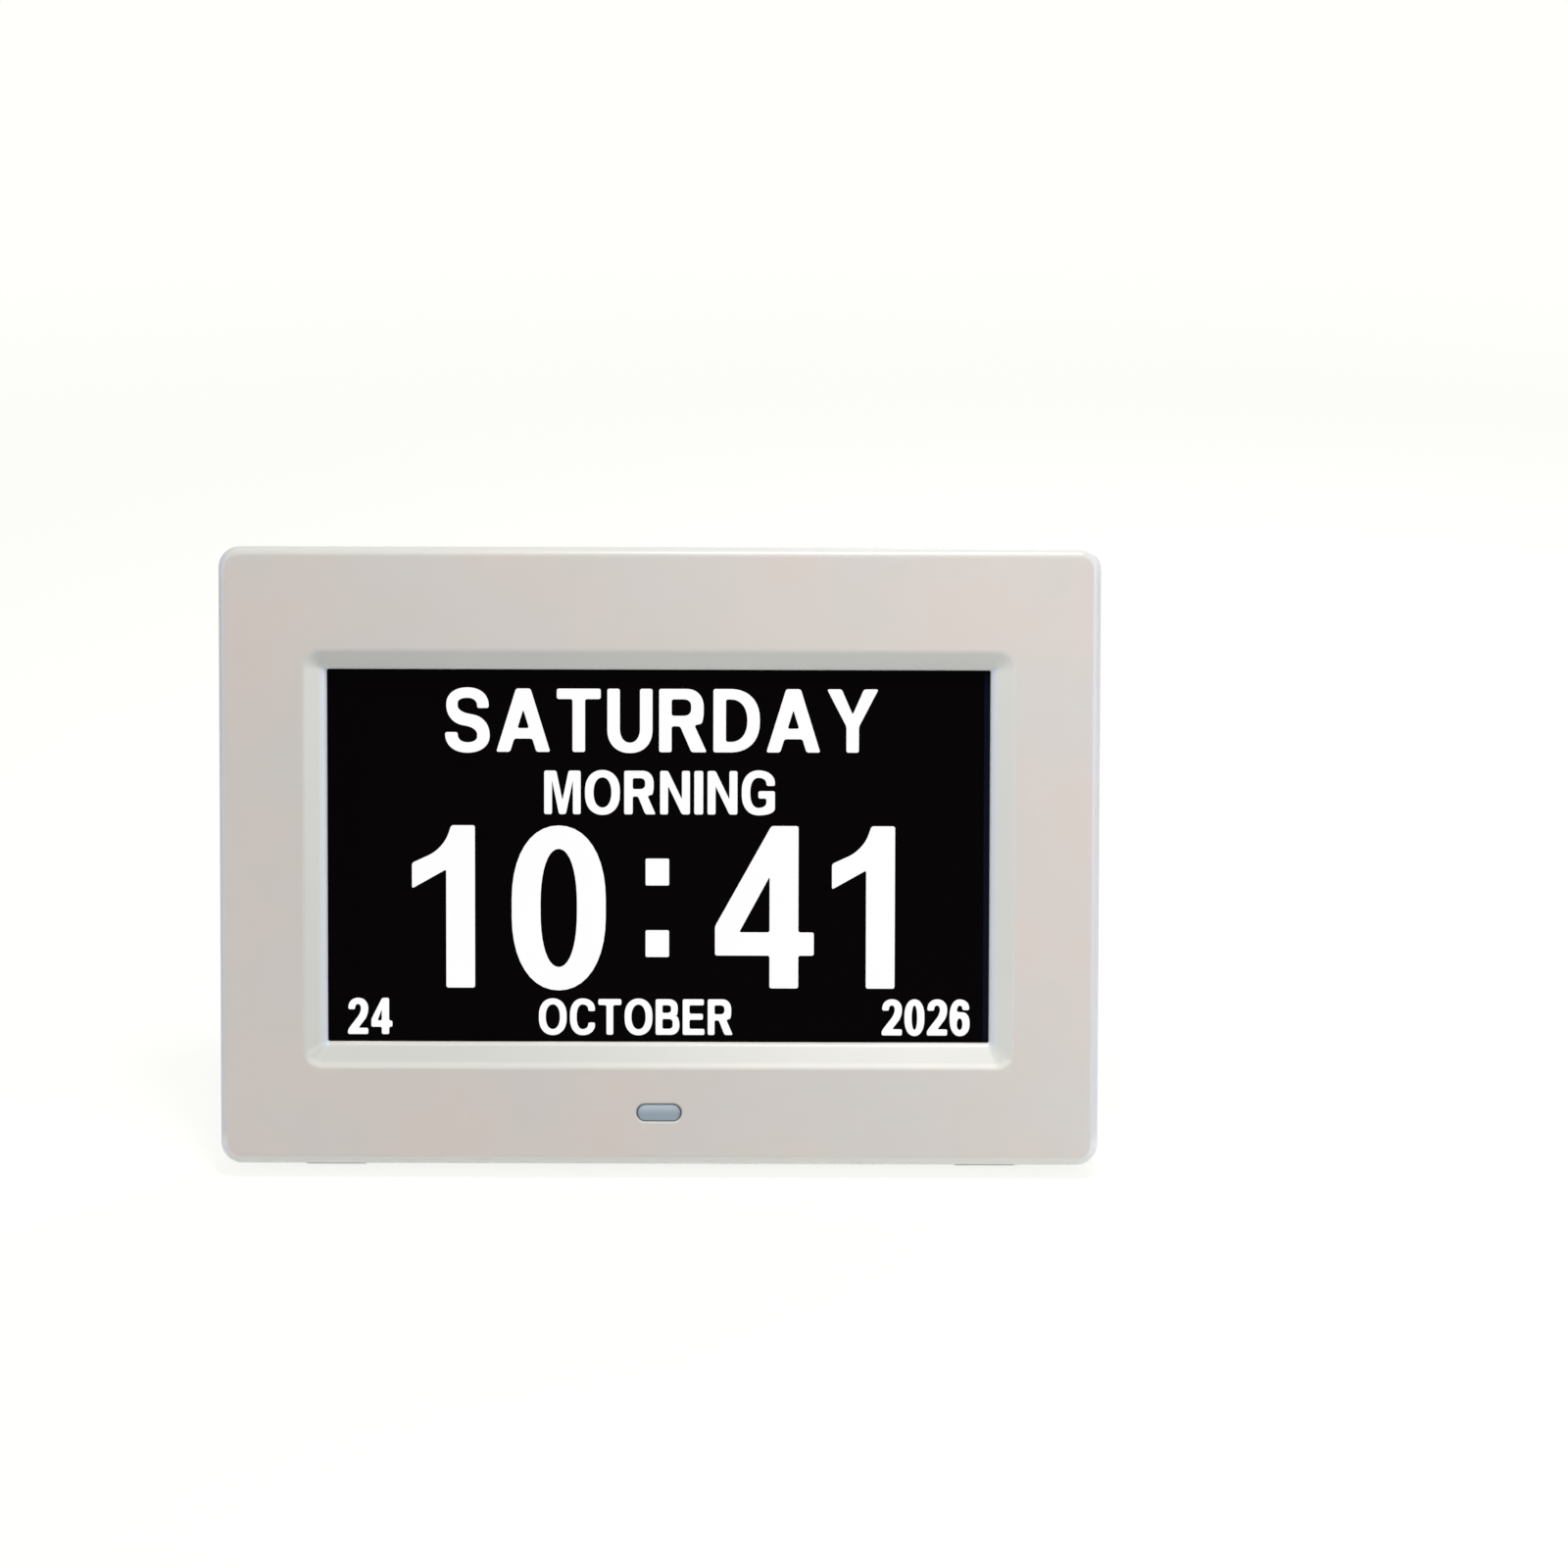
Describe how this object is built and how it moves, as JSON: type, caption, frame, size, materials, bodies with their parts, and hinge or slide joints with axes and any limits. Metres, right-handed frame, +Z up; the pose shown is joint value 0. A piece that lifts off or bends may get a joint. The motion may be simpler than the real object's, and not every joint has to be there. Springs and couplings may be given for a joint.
{
  "type": "day clock",
  "caption": "Desk calendar day clock with a wide screen in a sloped white frame, infrared window, rear keys and a fold-out leg.",
  "frame": {"origin": "centre of the bounding box in X and Y, on the surface that the feet and the leg stand on", "axes": "+X to the right across the face, +Y towards the back, +Z up; the face leans back 15 degrees"},
  "size_m": [0.205, 0.0766, 0.1424],
  "materials": {
    "housing": "satin moulded white",
    "cover": "fine grained moulded white",
    "ir_lens": "smooth blue grey",
    "rubber_pad": "matte",
    "screen_glass": "black polished",
    "steel_sheet": "brushed",
    "foam": "open foam",
    "tray_white": "smooth white",
    "guide_clear": "clear acrylic",
    "sheet_white": "frosted film",
    "flex_amber": "polyimide film",
    "board_green": "solder mask",
    "chip_black": "moulded epoxy",
    "tin_can": "tinned",
    "cap_sleeve": "shrink sleeve",
    "cell_steel": "polished",
    "header_white": "nylon",
    "socket_black": "moulded",
    "pin_brass": "plated",
    "key_grey": "satin",
    "magnet_dark": "plated",
    "cone_black": "film",
    "pin_steel": "ground",
    "leg_plastic": "fine grained moulded white"
  },
  "bodies": {
    "housing": {"front_bezel": "housing", "rear_cover": "cover", "ir_window": "ir_lens", "foot_left": "rubber_pad", "foot_right": "rubber_pad", "lcd_gasket": "foam", "lcd_frame": "steel_sheet", "lcd_glass": "screen_glass", "reflector_tray": "tray_white", "light_guide": "guide_clear", "diffuser_sheet": "sheet_white", "led_strip": "tray_white", "lcd_flex": "flex_amber", "main_board": "board_green", "processor": "chip_black", "memory_chip": "chip_black", "voltage_regulator": "chip_black", "power_inductor": "chip_black", "crystal": "tin_can", "capacitor_1": "cap_sleeve", "capacitor_2": "cap_sleeve", "coin_cell_holder": "socket_black", "coin_cell": "cell_steel", "flex_connector": "header_white", "header_main": "header_white", "dc_jack": "socket_black", "dc_jack_pin": "pin_brass", "usb_socket": "tin_can", "usb_tongue": "socket_black", "card_socket": "tin_can", "key_board": "board_green", "key_switches": "socket_black", "key_header": "socket_black", "speaker_basket": "tin_can", "speaker_cone": "cone_black", "speaker_magnet": "magnet_dark", "speaker_pins": "pin_brass", "ir_board": "board_green", "ir_receiver": "chip_black", "header_ir": "header_white", "ir_ribbon": "cone_black", "stand_pin": "pin_steel"},
    "stand": {"stand_leg": "leg_plastic", "stand_foot_pad": "rubber_pad"},
    "key_ok": {"key_ok": "key_grey", "plunger_ok": "socket_black"},
    "key_up": {"key_up": "key_grey", "plunger_up": "socket_black"},
    "key_down": {"key_down": "key_grey", "plunger_down": "socket_black"},
    "key_left": {"key_left": "key_grey", "plunger_left": "socket_black"},
    "key_right": {"key_right": "key_grey", "plunger_right": "socket_black"},
    "key_power": {"key_power": "key_grey", "plunger_power": "socket_black"},
    "key_menu": {"key_menu": "key_grey", "plunger_menu": "socket_black"}
  },
  "joints": [
    {"name": "stand_hinge", "type": "hinge", "parent": "housing", "child": "stand", "pos_m": [0, 0.00928, 0.0924], "axis": [-1, 0, 0], "range_deg": [0, 30]},
    {"name": "key_ok_press", "type": "slide", "parent": "housing", "child": "key_ok", "axis": [0, -0.9659, 0.2588], "range_m": [0, 0.0004], "stiffness_N_per_m": 2500},
    {"name": "key_up_press", "type": "slide", "parent": "housing", "child": "key_up", "axis": [0, -0.9659, 0.2588], "range_m": [0, 0.0004], "stiffness_N_per_m": 2500},
    {"name": "key_down_press", "type": "slide", "parent": "housing", "child": "key_down", "axis": [0, -0.9659, 0.2588], "range_m": [0, 0.0004], "stiffness_N_per_m": 2500},
    {"name": "key_left_press", "type": "slide", "parent": "housing", "child": "key_left", "axis": [0, -0.9659, 0.2588], "range_m": [0, 0.0004], "stiffness_N_per_m": 2500},
    {"name": "key_right_press", "type": "slide", "parent": "housing", "child": "key_right", "axis": [0, -0.9659, 0.2588], "range_m": [0, 0.0004], "stiffness_N_per_m": 2500},
    {"name": "key_power_press", "type": "slide", "parent": "housing", "child": "key_power", "axis": [0, -0.9659, 0.2588], "range_m": [0, 0.0004], "stiffness_N_per_m": 2500},
    {"name": "key_menu_press", "type": "slide", "parent": "housing", "child": "key_menu", "axis": [0, -0.9659, 0.2588], "range_m": [0, 0.0004], "stiffness_N_per_m": 2500}
  ]
}
